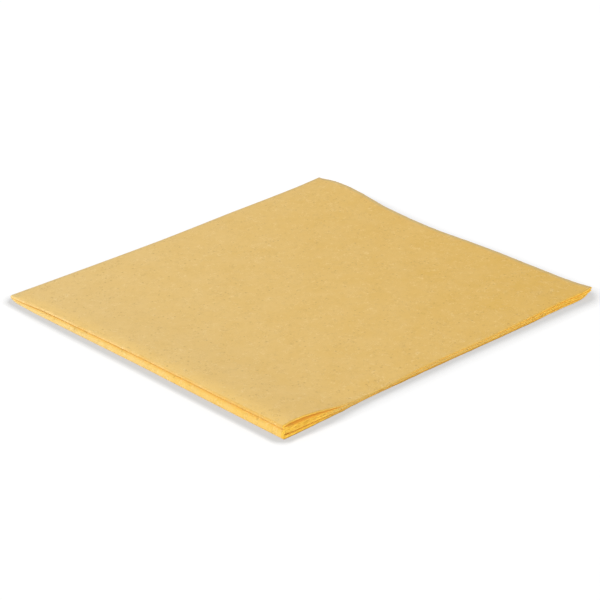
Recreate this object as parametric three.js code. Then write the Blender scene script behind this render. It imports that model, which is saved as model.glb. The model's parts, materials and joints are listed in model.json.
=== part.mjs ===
// Nonwoven microfibre cleaning cloth: one raw-cut sheet, folded in half and in half again.
//
// Millimetres, +Z up. The origin lies on the surface that the cloth rests on, under the middle
// of the folded cloth. +X runs from the first fold to the loose side, and +Y from the four
// raw edges at the front to the main fold at the back.
//
// Four leaves lie on each other. From the bottom they are bottom_leaf, lower_inner_leaf,
// upper_inner_leaf and top_leaf. The first fold, at -X, joins the leaves of the lower pair and
// those of the upper pair. The main fold, at +Y, was made last: its outer bend joins the bottom
// and top leaves, its inner bend joins the inner two, and both part on the line that it turns on.

import * as THREE from 'three';

// The open sheet
const sheet_length = 380;
const sheet_width = 350;
const sheet_thickness = 0.6;

// The folded cloth
const folded_length = sheet_length / 2;
const folded_width = sheet_width / 2;
const layer_gap = 0.25;
const part_gap = 0.3;
const fold_margin = 1.5;

// The springy loops of the first fold, which open towards the front corner
const lower_swell = 2.2;
const lower_swell_reach = 42;
const upper_swell = 1.4;
const upper_swell_reach = 34;
const swell_crown = 6;
const swell_growth_share = 0.65;

// The belly behind the main fold, near its loose end
const belly_height = 1.1;
const belly_reach = 52;
const belly_growth_share = 3;
const belly_peak_share = 4 / 27;

// The loose corner, where the four leaves fan out
const fan_height = 0.35;
const fan_reach = 50;

// Soft waves left by the packet that the cloth came in
const wave_height = 0.22;
const wave_length = 82;
const wave_length_along = 257;
const wave_slant_share = 0.33;
const underside_ripple = 0.8;
const underside_flat_depth = 0.5;
const ripple_length = 118;
const ripple_slant_share = 0.5;

// How far the outline runs in from a true rectangle
const first_fold_lean = 1.2;
const loose_side_lean = 2.3;
const loose_side_hollow = 2.2;
const front_lean = 1;
const lower_front_hollow = 0.9;
const leaf_step = 0.2;
const first_fold_lean_shares = [0.1, 0.45];
const loose_side_lean_shares = [0.1, 0.32];
const loose_side_hollow_shares = [0.45, 0.15];
const top_front_overhang_shares = [0.3, 0.2];
const lower_front_hollow_shares = [0.42, 0.3];

// Facets
const leaf_columns = 18;
const leaf_rows = 16;
const fold_stations = 18;
const bend_steps = 8;
const bend_rows = 5;

// Colours and surface, as a share of full strength
const top_colour = 0xe3c07d;
const inner_colour = 0xe8b868;
const fold_colour = 0xf6cd80;
const cloth_roughness_share = 0.95;

// Sizes that follow from those above
const half_length = folded_length / 2;
const half_width = folded_width / 2;
const layer_pitch = sheet_thickness + layer_gap;
const stack_height = 4 * layer_pitch - layer_gap;
const fold_line_height = stack_height / 2;
const main_fold_reach = fold_line_height + fold_margin;
const main_fold_start = half_width - main_fold_reach;
const first_fold_room = Math.max(lower_swell, upper_swell) + layer_pitch + sheet_thickness;
const first_fold_reach = first_fold_room / 2 + fold_margin;

// Plain curves
const clamp = (share) => Math.min(1, Math.max(0, share));
const ease = (share) => clamp(share) ** 2 * (3 - 2 * clamp(share));
const hump = (share, middle, spread) => Math.exp(-(((share - middle) / spread) ** 2));
const blend = (from, to, share) => from + (to - from) * share;
const depth_share = (y) => clamp((main_fold_start - y) / (main_fold_start + half_width));
const length_share = (x) => clamp((x + half_length) / folded_length);

// The outline: where the first fold, the loose side and the front edges run
function lean(share, size, [start, end]) {
  return size * ease((share - start) / (end - start));
}

function firstFoldX(y) {
  return -half_length + lean(depth_share(y), first_fold_lean, first_fold_lean_shares);
}

function looseSideX(y, leaf) {
  const share = (half_width - y) / folded_width;
  const hollow = loose_side_hollow * hump(share, ...loose_side_hollow_shares);
  const run_in = hollow + lean(share, loose_side_lean, loose_side_lean_shares);
  return half_length - run_in - leaf * leaf_step;
}

function frontY(x, leaf) {
  const share = length_share(x);
  const overhang = front_lean * hump(share, ...top_front_overhang_shares);
  const hollow = lower_front_hollow * hump(share, ...lower_front_hollow_shares);
  return -half_width + front_lean + (leaf === top_of_stack ? -overhang : hollow);
}

// Heights: the air between the leaves, and each leaf's underside
const bottom_of_stack = 0;
const lower_inner = 1;
const upper_inner = 2;
const top_of_stack = 3;

function foldSwell(x, y, height, reach) {
  const from_fold = x - firstFoldX(y) - swell_crown;
  const closing = clamp(from_fold / (reach - swell_crown));
  const crown = (1 + Math.cos(Math.PI * closing)) / 2;
  return height * depth_share(y) ** swell_growth_share * crown;
}

function belly(x, y) {
  const share = clamp((main_fold_start - y) / belly_reach);
  const profile = (share * (1 - share) ** 2) / belly_peak_share;
  return belly_height * profile * length_share(x) ** belly_growth_share;
}

function fan(x, y) {
  const from_corner = Math.hypot(half_length - x, y + half_width);
  return fan_height * clamp(1 - from_corner / fan_reach) ** 2;
}

const calm = (x, y) => ease(depth_share(y)) * ease((x + half_length) / lower_swell_reach);

function waves(x, y) {
  const across = Math.sin((2 * Math.PI * x) / wave_length);
  const along = Math.cos((2 * Math.PI * (y - x * wave_slant_share)) / wave_length_along);
  return (wave_height * calm(x, y) * (1 + across * along)) / 2;
}

function undersideZ(x, y) {
  const across = Math.sin((2 * Math.PI * (x + y * ripple_slant_share)) / ripple_length);
  return Math.max(0, underside_ripple * calm(x, y) * across - underside_flat_depth);
}

function leafZ(x, y, leaf) {
  const swells = [
    undersideZ(x, y),
    foldSwell(x, y, lower_swell, lower_swell_reach) + fan(x, y),
    belly(x, y) + fan(x, y) + waves(x, y),
    foldSwell(x, y, upper_swell, upper_swell_reach) + fan(x, y) + waves(x, y) / 2,
  ];
  const lifted = swells.slice(0, leaf + 1).reduce((sum, swell) => sum + swell);
  return lifted + leaf * layer_pitch;
}

// A closed body between two faces that are drawn over the same unit square
function closedSheet(outer, inner, columns, rows) {
  const positions = [];
  const index = [];
  const corner = (side, i, j) => (side * (rows + 1) + j) * (columns + 1) + i;
  const quad = (a, b, c, d) => index.push(a, b, c, a, c, d);
  for (const face of [outer, inner]) {
    for (let j = 0; j <= rows; j += 1) {
      for (let i = 0; i <= columns; i += 1) {
        positions.push(...face(i / columns, j / rows));
      }
    }
  }
  for (let j = 0; j < rows; j += 1) {
    for (let i = 0; i < columns; i += 1) {
      quad(corner(0, i, j), corner(0, i + 1, j), corner(0, i + 1, j + 1), corner(0, i, j + 1));
      quad(corner(1, i, j + 1), corner(1, i + 1, j + 1), corner(1, i + 1, j), corner(1, i, j));
    }
  }
  for (let i = 0; i < columns; i += 1) {
    quad(corner(1, i, 0), corner(1, i + 1, 0), corner(0, i + 1, 0), corner(0, i, 0));
    quad(corner(0, i, rows), corner(0, i + 1, rows), corner(1, i + 1, rows), corner(1, i, rows));
  }
  for (let j = 0; j < rows; j += 1) {
    quad(corner(0, 0, j), corner(0, 0, j + 1), corner(1, 0, j + 1), corner(1, 0, j));
    quad(
      corner(1, columns, j),
      corner(1, columns, j + 1),
      corner(0, columns, j + 1),
      corner(0, columns, j),
    );
  }
  const geometry = new THREE.BufferGeometry();
  geometry.setAttribute('position', new THREE.Float32BufferAttribute(positions, 3));
  geometry.setIndex(index);
  geometry.computeVertexNormals();
  return geometry;
}

// A leaf: a gently waved sheet between the folds and its two raw edges
function leafSolid(leaf) {
  const place = (i, j) => {
    const nominal_x = blend(-half_length, half_length, i);
    const y = blend(frontY(nominal_x, leaf), main_fold_start - part_gap, j);
    const start = firstFoldX(y) + first_fold_reach + part_gap;
    return [blend(start, looseSideX(y, leaf), i), y];
  };
  const face = (lift) => (i, j) => {
    const [x, y] = place(i, j);
    return [x, y, leafZ(x, y, leaf) + lift];
  };
  return closedSheet(face(sheet_thickness), face(0), leaf_columns, leaf_rows);
}

// The first fold of one pair: a loop that runs from the front to the main fold. Its section
// leaves the lower leaf, bends around the -X side and comes back over the upper leaf.
function firstFoldSolid(lower) {
  const section = (y, bend, inset) => {
    const tip = firstFoldX(y);
    const end = tip + first_fold_reach;
    const floor = leafZ(end, y, lower);
    const roof = leafZ(end, y, lower + 1) + sheet_thickness;
    const middle = (floor + roof) / 2;
    const round = (roof - floor) / 2;
    const edge = 1 / (bend_steps + 2);
    if (bend < edge / 2) return [end, y, floor + inset];
    if (bend > 1 - edge / 2) return [end, y, roof - inset];
    const turn = Math.PI * ((bend - edge) / (1 - 2 * edge) - 1 / 2);
    const radius = round - inset;
    return [tip + round - radius * Math.cos(turn), y, middle + radius * Math.sin(turn)];
  };
  const face = (inset) => (i, j) => {
    const y = blend(main_fold_start - part_gap, frontY(-half_length, lower), i);
    return section(y, j, inset);
  };
  return closedSheet(face(0), face(sheet_thickness), fold_stations, bend_steps + 2);
}

// One lip of the main fold: a quarter bend that ends half a layer gap short of the line that
// the fold turns on
function mainFoldLip(leaf, inner) {
  const upper = leaf > lower_inner;
  const start_gap = inner ? first_fold_reach + part_gap : 0;
  const tip = half_width - (inner ? layer_pitch : 0);
  const face = (inset) => (i, j) => {
    const start = firstFoldX(main_fold_start) + start_gap;
    const end = looseSideX(main_fold_start, leaf);
    const x = blend(start, end, i);
    const floor = leafZ(x, main_fold_start, leaf);
    const outside = upper ? floor + sheet_thickness : floor;
    const rise = Math.abs(outside - fold_line_height) - inset;
    const reach = fold_line_height - (inner ? layer_pitch : 0) - inset;
    const stop = Math.asin(Math.min(1, layer_gap / 2 / rise));
    const edge = 1 / (bend_rows + 1);
    const turn = blend(Math.PI / 2, stop, clamp((j - edge) / (1 - edge)));
    const out = j < edge / 2 ? main_fold_start : tip - inset - reach * (1 - Math.cos(turn));
    const side = upper ? 1 : -1;
    return [x, out, fold_line_height + side * rise * Math.sin(turn)];
  };
  const faces = [face(0), face(sheet_thickness)];
  const [outer, under] = upper ? faces : faces.reverse();
  return closedSheet(outer, under, fold_stations, bend_rows + 1);
}

function clothMaterial(colour) {
  return new THREE.MeshStandardMaterial({
    color: colour,
    roughness: cloth_roughness_share,
    metalness: 0,
  });
}

function addPiece(group, name, geometry, colour) {
  const mesh = new THREE.Mesh(geometry, clothMaterial(colour));
  mesh.name = name;
  group.add(mesh);
}

// The lower half stays on the table, and the upper half turns on the main fold
const lower_half = new THREE.Group();
addPiece(lower_half, 'bottom_leaf', leafSolid(bottom_of_stack), top_colour);
addPiece(lower_half, 'lower_inner_leaf', leafSolid(lower_inner), inner_colour);
addPiece(lower_half, 'first_fold_lower', firstFoldSolid(bottom_of_stack), fold_colour);
addPiece(lower_half, 'main_fold_outer_lower', mainFoldLip(bottom_of_stack, false), fold_colour);
addPiece(lower_half, 'main_fold_inner_lower', mainFoldLip(lower_inner, true), inner_colour);

const upper_half = new THREE.Group();
addPiece(upper_half, 'upper_inner_leaf', leafSolid(upper_inner), inner_colour);
addPiece(upper_half, 'top_leaf', leafSolid(top_of_stack), top_colour);
addPiece(upper_half, 'first_fold_upper', firstFoldSolid(upper_inner), fold_colour);
addPiece(upper_half, 'main_fold_inner_upper', mainFoldLip(upper_inner, true), inner_colour);
addPiece(upper_half, 'main_fold_outer_upper', mainFoldLip(top_of_stack, false), fold_colour);

const cloth = new THREE.Group();
cloth.add(lower_half, upper_half);

export default cloth;
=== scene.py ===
# Nonwoven microfibre cleaning cloth, folded in half and in half again.
#
# One sheet of cloth is made in three pieces: the lower pair of leaves with its first fold, the
# upper pair with its first fold, and the bend of the main fold that joins them. Each is a closed
# sheet around a middle surface, drawn on a grid of columns (across the first fold) and rows
# (across the main fold). Short fibres stand out of the raw-cut edges.
import json
import math

import bpy
import numpy as np
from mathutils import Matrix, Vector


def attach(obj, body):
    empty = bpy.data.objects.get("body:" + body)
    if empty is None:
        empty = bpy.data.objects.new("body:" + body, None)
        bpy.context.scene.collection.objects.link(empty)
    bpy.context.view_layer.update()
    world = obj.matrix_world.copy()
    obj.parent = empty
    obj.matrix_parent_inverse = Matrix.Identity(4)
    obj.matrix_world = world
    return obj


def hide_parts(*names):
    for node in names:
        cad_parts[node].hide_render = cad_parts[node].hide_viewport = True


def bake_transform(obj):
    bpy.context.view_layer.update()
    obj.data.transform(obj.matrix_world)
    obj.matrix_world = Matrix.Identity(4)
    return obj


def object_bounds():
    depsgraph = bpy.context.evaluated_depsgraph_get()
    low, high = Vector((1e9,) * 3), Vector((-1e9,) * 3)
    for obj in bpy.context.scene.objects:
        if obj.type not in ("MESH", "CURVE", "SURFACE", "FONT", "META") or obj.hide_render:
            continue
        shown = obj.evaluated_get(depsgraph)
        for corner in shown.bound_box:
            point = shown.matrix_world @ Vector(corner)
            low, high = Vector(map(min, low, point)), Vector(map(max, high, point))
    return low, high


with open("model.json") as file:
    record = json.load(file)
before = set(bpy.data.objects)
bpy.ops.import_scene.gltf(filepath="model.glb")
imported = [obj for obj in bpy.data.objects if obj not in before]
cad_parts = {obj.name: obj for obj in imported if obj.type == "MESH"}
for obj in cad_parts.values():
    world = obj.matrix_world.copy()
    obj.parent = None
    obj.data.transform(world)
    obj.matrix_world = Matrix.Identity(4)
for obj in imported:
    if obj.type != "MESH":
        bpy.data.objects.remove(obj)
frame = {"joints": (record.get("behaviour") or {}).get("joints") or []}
cad_low, cad_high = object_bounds()

MM = 0.001

# The camera, from the photograph's perspective
CAMERA_PLACE = (-0.6641, -0.6857, 0.4659)
CAMERA_HEADING = math.radians(45.98)
CAMERA_PITCH = math.radians(26.055)
CAMERA_LENS = 143.99
CAMERA_SENSOR = 36.0
CAMERA_NEAR = 0.01
CAMERA_FAR = 100.0

# The folded cloth's outline and the line that the main fold turns on, from the frame
HALF_LENGTH = cad_high.x
HALF_WIDTH = cad_high.y
FOLD_LINE = frame["joints"][0]["pos_m"]
FOLD_LINE_HEIGHT = FOLD_LINE[2]
STACK_HEIGHT = 2 * FOLD_LINE_HEIGHT

# The cloth, with its nap, and how the four leaves share the stack
CLOTH_THICKNESS = 0.7 * MM
LEAF_PITCH = (STACK_HEIGHT - CLOTH_THICKNESS) / 3
BOTTOM, LOWER_INNER, UPPER_INNER, TOP = range(4)

# The springy loops of the first fold. The lower one is a bulb, and the upper one lies flat on it at
# the tip, rounds off over a broad nose and gapes most at the front corner
SWELL_HEIGHT = 3.4 * MM
SWELL_REACH = 42 * MM
SWELL_CROWN = 6 * MM
SWELL_GROWTH = 0.5
SWELL_START = 0.01
LOWER_SWELL_SHARE = 0.58
CORNER_SWELL = 0.5 * MM
CORNER_SWELL_REACH = 34 * MM
CORNER_SWELL_GROWTH = 3.0
NOSE_REACH = 8 * MM
NOSE_ROUNDING = 0.3 * MM
NOSE_PRESS = 0.3 * MM
UPPER_SETBACK = 1.0 * MM
SETBACK_SHARE = 0.125

# The share of a loop's swelling that each leaf's own nap takes up, so that the loops gape little
NAP_SHARES = (0.26, 0.5, 0.1, 0.02)

# The belly behind the main fold
BELLY_HEIGHT = 1.75 * MM
BELLY_REACH = 49.5 * MM
BELLY_GROWTH = 3
BELLY_PEAK = 4 / 27
BELLY_CORNER_SHARE = 0.22
BELLY_CORNER_GROWTH = 8
BELLY_CORNER_FALL = 4

# How the leaves fan and the loose corner turns up: the height there, how far it reaches, and how
# fast it fades
FAN = (0.25 * MM, 50 * MM, 2)
CURL = (1.15 * MM, 20 * MM, 2.6)

# At the front the two pairs lie close on each other, and the cut edges are pressed thinner by two
# shares of their thickness, each around a place of the front (its middle and its spread)
FRONT_PRESS = 0.1 * MM
FRONT_PRESS_REACH = 15 * MM
THINNING = (0.36, 0.15)
THINNING_SHARES = ((0.27, 0.10), (0.5, 0.28))
THINNING_REACH = 12 * MM

# Soft waves and small cockles of the leaves, and the ripple of the underside
WAVE_HEIGHT = 0.22 * MM
WAVE_LENGTH = 82 * MM
WAVE_LENGTH_ALONG = 257 * MM
WAVE_SLANT = 0.33
TOP_WAVE_SHARE = 0.5
UNDERSIDE_RIPPLE = 0.8 * MM
UNDERSIDE_FLAT_DEPTH = 0.5 * MM
RIPPLE_LENGTH = 118 * MM
RIPPLE_SLANT = 0.5
COCKLE_HEIGHT = 0.07 * MM
COCKLE_LENGTHS = (41 * MM, 27 * MM, 17 * MM)
COCKLE_SLANTS = (3, 4)
COCKLE_ONSET = 6
COCKLE_SEEDS = (51, 52)

# How the outline departs from a rectangle. Shares run along a side from the main fold or from the
# front corner, and a hollow's are its middle and its spread
FIRST_FOLD_BULGE = (-0.35 * MM, 0.4 * MM)
FIRST_FOLD_BULGE_SHARE = 0.1
FIRST_FOLD_HOLLOW = 0.35 * MM
FIRST_FOLD_HOLLOW_SHARES = (0.5, 0.2)
MAIN_FOLD_HOLLOW = 1.5 * MM
MAIN_FOLD_PLACES = (-95 * MM, -55 * MM, -8 * MM, 36 * MM, 80 * MM, 95 * MM)
MAIN_FOLD_SHIFTS = (-0.55 * MM, -0.4 * MM, 0.0, -0.5 * MM, 0.4 * MM, 0.2 * MM)
LOOSE_SIDE_LEAN = 1.7 * MM
LOOSE_SIDE_LEAN_SHARES = (0.1, 0.32)
LOOSE_SIDE_HOLLOW = 2.2 * MM
LOOSE_SIDE_HOLLOW_SHARES = (0.45, 0.15)
FRONT_LEAN = 0.8 * MM
TOP_OVERHANG = 0.5 * MM
TOP_OVERHANG_SHARES = (0.30, 0.1)
FRONT_HOLLOW = 1.3 * MM
FRONT_HOLLOW_SHARES = (0.38, 0.28)
LOOSE_CORNER_STEP = 1.5 * MM
LOOSE_CORNER_STEP_POWER = 2.2
LOOSE_CORNER_POINT = 0.9 * MM
LOOSE_CORNER_SHARE = 0.06
LOOSE_CORNER_POINT_SHARE = 0.1
BACK_CORNER_ROUNDING = 2.6 * MM
BACK_CORNER_POWERS = (2, 3.0)
BACK_CORNER_REACH = 6 * MM
CUT_WANDER = 0.12 * MM
CUT_WANDER_LENGTHS = (23 * MM, 9 * MM, 4 * MM)
WANDER_STRETCH = (0.85, 1.15)
SIDE_SEED = 11
FRONT_SEED = 31

# The grid of the sheets
FLAT_COLUMNS = 116
LOOP_COLUMNS = 17
PAIR_ROWS = 108
END_CROWDING = 0.6
BEND_ROWS = 41
BEND_CROWDING = 2.4
STRAIGHT_ROWS = 6

# How far in front of the main fold's bend its strip is joined to the pairs, and how far in front of
# it the outline and the belly begin
BEND_MARGIN = 3.5 * MM
MAIN_FOLD_MARGIN = 1.5 * MM

# The rounded rims of the sheets, rough where they are cut, and the angle from which an edge is sharp
RIM_RINGS = 3
RIM_ROUNDNESS = 0.65
RIM_ROUGHNESS = 0.04 * MM
RIM_SEED = 71
SHARP_ANGLE = math.radians(60)

# How far the colours of a cut edge, of a bend and of the painted highlight on the shoulder behind it
# reach into the sheet, and where around the bend the nose's painted shade and the crease's painted
# shade and bounced light begin
CUT_REACH = 0.7 * MM
BEND_REACH = 2.0 * MM
SHOULDER_HIGHLIGHT_REACH = 9 * MM
NOSE_START = 0.35
CREASE_SHARES = (0.6, 1.1)

# Where along the front the cut edges are pressed flat and turned over, so that they show the nap's
# paler colour with painted shade on it: between which shares that begins, and between which it ends
PRESSED_SHARES = (0.1, 0.2), (0.4, 1.0)
FRONT_REACH = 6 * MM

# Between which heights the painted shade from the table on the cut edge of the bottom leaf fades out
LOW_REACH = (0.3 * MM, 0.75 * MM)

# The narrow painted shade along the loose side and along the main fold, where the cloth turns away
# from the light, and between which shares of the stack's height the second one begins
FAR_RIM_REACH = 2.4 * MM
FAR_RIM_STRENGTH = 0.8
BACK_RIM_REACH = 3.6 * MM
BACK_RIM_STRENGTH = 0.6
BACK_RIM_HEIGHTS = (0.75, 0.95)

# The colours of the cloth: pale up on the nap, paler still where a painted sheen lies on it, deep
# orange where fibres lie close, and painted highlight, shade and bounced light on the shoulder,
# nose, crease, rims, pits and edges
PALE_SHEEN_NAP = (0.818, 0.562, 0.206)
WARM_NAP = (0.748, 0.460, 0.096)
PALE_BEND = (0.780, 0.560, 0.215)
WARM_BEND = (0.775, 0.495, 0.110)
# A painted highlight on the shoulder behind the first fold, where its slope faces the light
SHOULDER_HIGHLIGHT = (0.90, 0.600, 0.185)
# Painted shade on the nose of the upper loop, which faces the light from the left
PALE_NOSE_SHADE = (0.750, 0.517, 0.206)
WARM_NOSE_SHADE = (0.660, 0.375, 0.070)
# Painted shade and bounced orange light in the crease where the two loops meet
CREASE_SHADE_AND_BOUNCE = (0.90, 0.545, 0.075)
DEEP_FIBRE = (0.95, 0.590, 0.070)
CUT_FIBRE = (0.73, 0.405, 0.032)
# Painted shade on the cut edge of the bottom leaf, next to the table
LOW_EDGE_SHADE = (0.50, 0.270, 0.015)
# The pressed front edge: the nap's own colour, darkened by painted shade
PRESSED_NAP_SHADE = (0.69, 0.475, 0.135)
RIM_SHADE = (0.50, 0.420, 0.250)
# Painted shade for pits and hollows, and a painted highlight for raised fibres, which is also the
# paler tone of some stray fibres
PIT_SHADE = (0.43, 0.235, 0.040)
TUFT_LIGHT = (0.95, 0.720, 0.340)

# How the painted sheen fades so that the cloth grows warmer along and across, how late it does, how
# soon at the first fold, and how closely the colour of a cut edge keeps to the edge
SHEEN_FADE_ALONG = 1.25
SHEEN_FADE_ACROSS = 0.75
WARMTH_POWER = 1.2
WARMTH_FORWARD = 2.8
CUT_POWER = 2.0

# The matte surface of the cloth, and its roughness with how much that varies
CLOTH_SURFACE = {
    "Sheen Weight": 0.08,
    "Sheen Roughness": 0.6,
    "Sheen Tint": (1.0, 0.9, 0.7, 1),
    "Specular IOR Level": 0.2,
}
CLOTH_ROUGHNESS = 0.84
ROUGHNESS_CHANGE = 0.1
RELIEF_STRENGTH = 0.7

# A painted glow, emitted by the faces inside the first fold in place of the light that comes through
# the leaves, and the share of it in the lower loop
GLOW_COLOUR = (0.95, 0.66, 0.18)
GLOW_STRENGTH = 0.06
LOWER_GLOW_SHARE = 0.35

# The sizes of the nap's marks
NAP_SIZES = {
    "Mottle Size": 13 * MM,
    "Grain Size": 0.45 * MM,
    "Fibre Curl": 2.5 * MM,
    "Pit Spacing": 3.0 * MM,
    "Tuft Spacing": 3.6 * MM,
    "Loop Spacing": 3.8 * MM,
}
NAP_RELIEF = 0.22 * MM

# Where each pattern of the nap starts, so that no two lie on each other
PATTERN_STARTS = {
    "lumps": (0.3, 0.1, 0),
    "mottle": (0.7, 0.5, 0),
    "patches": (0.2, 0.9, 0),
    "high fibres": (0.11, 0.37, 0),
    "low fibres": (0.53, 0.23, 0),
    "fine fibres": (0.29, 0.71, 0),
    "pits": (0.17, 0.61, 0),
    "tufts": (0.41, 0.83, 0),
    "high loops": (0.67, 0.13, 0),
    "low loops": (0.03, 0.43, 0),
}

# How wide the curled fibres are drawn, how fine the finest ones and the patches of all of them are,
# how big pits, tufts and loops are in shares of their spacing, and how much of the cloth has pits
FIBRE_WIDTHS = {"high fibres": 0.035, "low fibres": 0.030, "fine fibres": 0.06}
FINE_SCALE = 2.1
PATCH_SCALE = 0.55
SPOT_SIZES = {"pits": 0.15, "tufts": 0.12}
LOOP_SIZES = {"high loops": 0.17, "low loops": 0.15}
LOOP_LINE = 0.27
PITTED_SHARE = 0.45

# Between which values of a noise the patches, the curled fibres, the broken loops and the dips
# begin, and at which share of its size a spot begins to fade
PATCH_EDGE = (0.35, 0.65)
FIBRE_EDGE = (0.5, 0.6)
LOOP_EDGE = (0.45, 0.55)
DIP_EDGE = (0.42, 0.22)
SPOT_SOFTNESS = 0.35

# How much each pattern raises the nap, darkens it and lightens it. The darkening of dips, pits and
# low fibres and loops is painted shade, and the lightening of high fibres, tufts and loops a painted
# highlight; the fine fibres are dark in their own colour
RAISING = {
    "grain": 0.45,
    "lumps": 0.7,
    "high fibres": 0.35,
    "tufts": 0.3,
    "high loops": 0.35,
    "low fibres": -0.3,
    "low loops": -0.35,
    "pits": -0.6,
}
DARKENING = {"dips": 0.25, "low fibres": 0.45, "low loops": 0.8, "fine fibres": 0.35, "pits": 1.0}
LIGHTENING = {"high fibres": 1.0, "tufts": 0.5, "high loops": 0.8}

# How much of the marks shows on the face and inside the first fold
MOTTLE_STRENGTH = 0.65
SHOULDER_HIGHLIGHT_STRENGTH = 0.7
FACE_MARKS = (0.40, 0.44)
INSIDE_MARKS = (0.25, 0.15)

# The cut edge: how flat its layers are, the sizes of the layers and of the fibres' ends, how far the
# ends stand up, and the ramps of the layers' colour, of the painted shade in the pits between them,
# of the painted highlight on the ends and of the pale layer outside
LAYER_SQUEEZE = (1, 1, 9)
LAYER_SIZE = 2.4 * MM
END_SIZE = 0.25 * MM
END_RELIEF = 0.6
LAYER_RAMP = (0.35, 0.65)
LAYER_PITS = (0.36, 0.22, 0.0, 0.5)
END_LIGHTS = (0.55, 0.75, 0.0, 0.2)
OUTER_LAYER = (0.45 * CLOTH_THICKNESS, CLOTH_THICKNESS)

# The stray fibres of the cut edges: their sizes, the points of one fibre in shares of its length,
# how far from the cloth's middle they start in shares of its thickness, how far they turn, how much
# their sizes differ, the height below which they are pressed on the table, and their finish
FIBRE_SPACING = 1.0 * MM
FIBRE_LENGTH = 1.0 * MM
FIBRE_THICKNESS = 0.045 * MM
FIBRE_SIDES = 3
FIBRE_STEPS = 4
FIBRE_SHAPE = {"Start": (-0.3, 0, 0), "Middle": (0.4, 0, 0.1), "End": (0.8, 0.1, 0.4)}
FIBRE_LAYERS = 0.45
FIBRE_TURNS = (math.pi, 0.4, 0.9)
FIBRE_SIZES = (0.4, 1.2)
FIBRE_SEEDS = (5, 6)
FIBRE_FLOOR = 0.3 * MM
STRAY_MOTTLE = 1.5 * MM
STRAY_RAMP = (0.4, 0.6)
STRAY_RELIEF = 0.2 * FIBRE_THICKNESS
STRAY_ROUGHNESS = 0.8

# The light: strengths are in shares of a white surface's brightness
HORIZON_LIGHT = 1.75
ZENITH_LIGHT = 0.35
LEFT_LIGHT = 0.3
LEFT_LIGHT_TURN = math.radians(15)
LEFT_LIGHT_HEIGHT = math.radians(28)
LEFT_LIGHT_SPREAD = math.radians(50)

# The floor: how far it reaches and lies below the cloth, how wide the cloth's close shade is at
# the front corner, how that grows to the right and to the left, what the shade does (from how open
# a place is to how bright it looks), and how bright the camera sees the floor by the light on it
# and by its own glow
FLOOR_REACH = 4.0
FLOOR_DROP = 0.02 * MM
CONTACT_SAMPLES = 16
CONTACT_REACH = 4.8 * MM
CONTACT_GROWTH = 5.2 * MM
CONTACT_SLOPES = (3.3, -0.1)
CONTACT_CURVE = (0.82, 1.0, 0.66, 1.0)
FLOOR_LIT_SHARE = 0.25
FLOOR_GLOW_SHARE = 0.79


def placed_object(name, data):
    """A new object of the scene around its data."""
    made = bpy.data.objects.new(name, data)
    bpy.context.scene.collection.objects.link(made)
    return made


def camera():
    """The photograph's viewpoint."""
    data = bpy.data.cameras.new("viewpoint")
    data.lens = CAMERA_LENS
    data.sensor_width = CAMERA_SENSOR
    data.clip_start = CAMERA_NEAR
    data.clip_end = CAMERA_FAR
    viewer = placed_object("viewpoint", data)
    viewer.location = CAMERA_PLACE
    viewer.rotation_euler = (math.pi / 2 - CAMERA_PITCH, 0, CAMERA_HEADING - math.pi / 2)
    bpy.context.scene.camera = viewer


camera()


# Plain curves

def ease(share):
    """A soft step from 0 to 1."""
    share = np.clip(share, 0, 1)
    return share * share * (3 - 2 * share)


def eased(value, low, high):
    """0 below low and 1 above high, with a soft step between them."""
    return ease((value - low) / (high - low))


def hump(share, middle, spread):
    """1 in the middle, and less and less away from it."""
    return np.exp(-(((share - middle) / spread) ** 2))


def mix(low, high, share):
    return low + (high - low) * share


def wander(place, lengths, seed):
    """A smooth random line, between -1 and 1, as a sum of sines."""
    draw = np.random.default_rng(seed)
    total = 0
    for length in lengths:
        phase, stretch = draw.uniform(0, 2 * math.pi), draw.uniform(*WANDER_STRETCH)
        total = total + np.sin(2 * math.pi * place / (length * stretch) + phase)
    return total / len(lengths)


def crowded(share):
    """Even steps that crowd together towards both ends."""
    return share - END_CROWDING * np.sin(2 * math.pi * share) / (2 * math.pi)


# The outline and the heights of the four leaves

# Half the way around a pair's first fold, where the main fold's bend lies, and where its strip is
# joined to the pairs
PAIR_REACH = (STACK_HEIGHT - CLOTH_THICKNESS) / 2
BEND_CENTRE_Y = HALF_WIDTH - FOLD_LINE_HEIGHT
SEAM_Y = BEND_CENTRE_Y - BEND_MARGIN

# Where the outline and the belly begin
FOLD_START = BEND_CENTRE_Y - MAIN_FOLD_MARGIN

# The heights between which the bend turns as the main fold opens
TURN_LOW = FOLD_LINE_HEIGHT - (LEAF_PITCH - CLOTH_THICKNESS) / 2
TURN_HIGH = FOLD_LINE_HEIGHT + (LEAF_PITCH - CLOTH_THICKNESS) / 2


def depth(y, start=SEAM_Y):
    """0 at the main fold and 1 at the front. The leaves lie flat as far as the main fold's bend
    reaches, so that it opens without tearing."""
    return np.clip((start - y) / (start + HALF_WIDTH), 0, 1)


def first_fold_x(y, pair):
    """Where the tip of a pair's first fold lies, by the pair's outer leaf. The upper one sits a
    little behind the lower."""
    run = depth(y, FOLD_START)
    setback = UPPER_SETBACK * ease(run / SETBACK_SHARE) if pair == TOP else 0
    bulge = mix(*FIRST_FOLD_BULGE, ease(run / FIRST_FOLD_BULGE_SHARE))
    hollow = FIRST_FOLD_HOLLOW * hump(run, *FIRST_FOLD_HOLLOW_SHARES)
    return -HALF_LENGTH + hollow - bulge + setback


def corner_step(share, leaf):
    """How far a leaf's edge lies back at the rounded loose corner, the bottom leaf's most of all."""
    near = np.clip((share - 1 + LOOSE_CORNER_SHARE) / LOOSE_CORNER_SHARE, 0, 1)
    step = LOOSE_CORNER_STEP * ((TOP - leaf) / TOP) ** LOOSE_CORNER_STEP_POWER
    return step * near**LOOSE_CORNER_STEP_POWER


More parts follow.
